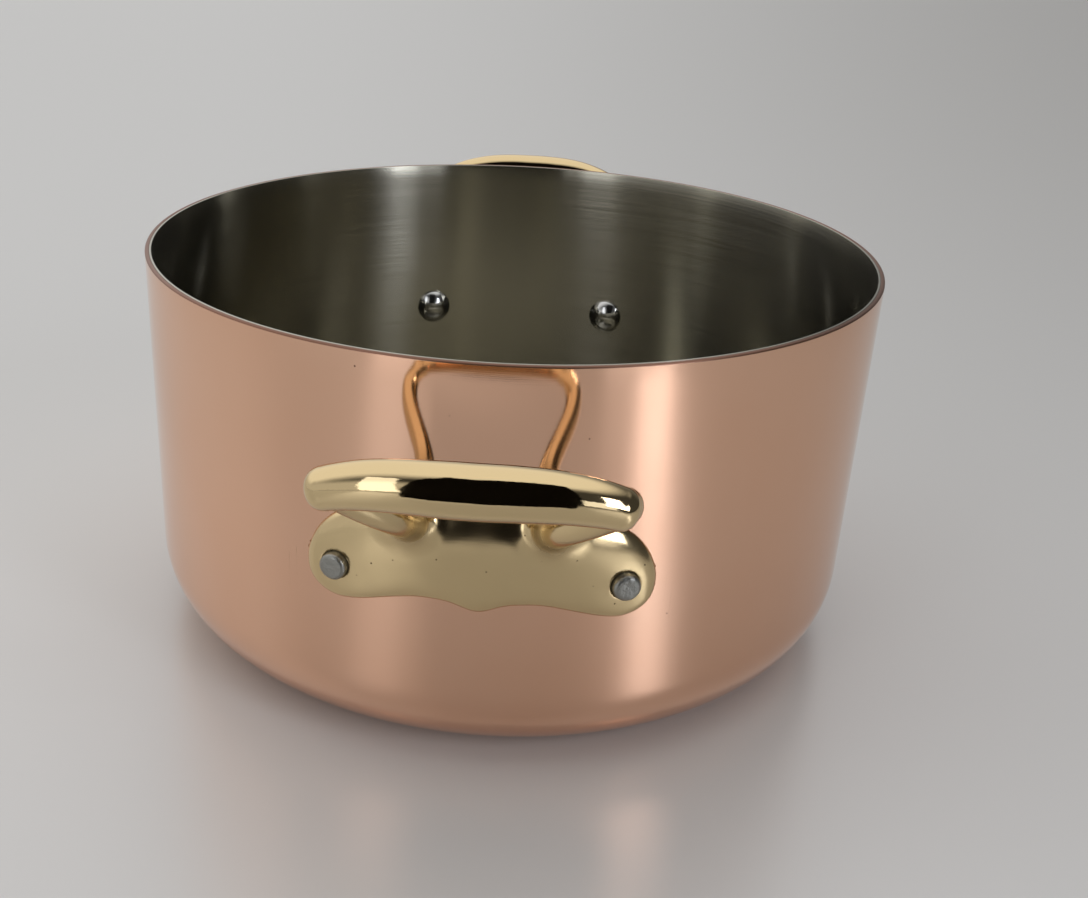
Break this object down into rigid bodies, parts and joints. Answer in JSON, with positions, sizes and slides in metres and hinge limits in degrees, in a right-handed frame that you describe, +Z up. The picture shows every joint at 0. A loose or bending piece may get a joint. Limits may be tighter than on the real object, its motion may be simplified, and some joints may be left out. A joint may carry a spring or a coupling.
{
  "type": "casserole pot",
  "caption": "Straight-sided copper casserole pot lined with stainless steel, with a cast brass loop handle riveted on at the front and at the rear. No lid.",
  "frame": {"origin": "centre of the flat base, on the surface that the pot stands on", "axes": "+Z up along the pot's axis; the handles lie on Y, the front one towards -Y; +X to the right seen from the front"},
  "size_m": [0.24, 0.35, 0.1266],
  "materials": {
    "copper": "copper polished to a mirror",
    "lining_steel": "stainless steel brushed round the wall",
    "handle_brass": "cast brass, polished",
    "rivet_steel": "stainless steel, polished heads and satin ends"
  },
  "bodies": {
    "root": {"copper_shell": "copper", "steel_lining": "lining_steel", "front_handle": "handle_brass", "rear_handle": "handle_brass", "front_left_rivet": "rivet_steel", "front_right_rivet": "rivet_steel", "rear_left_rivet": "rivet_steel", "rear_right_rivet": "rivet_steel"}
  },
  "joints": []
}
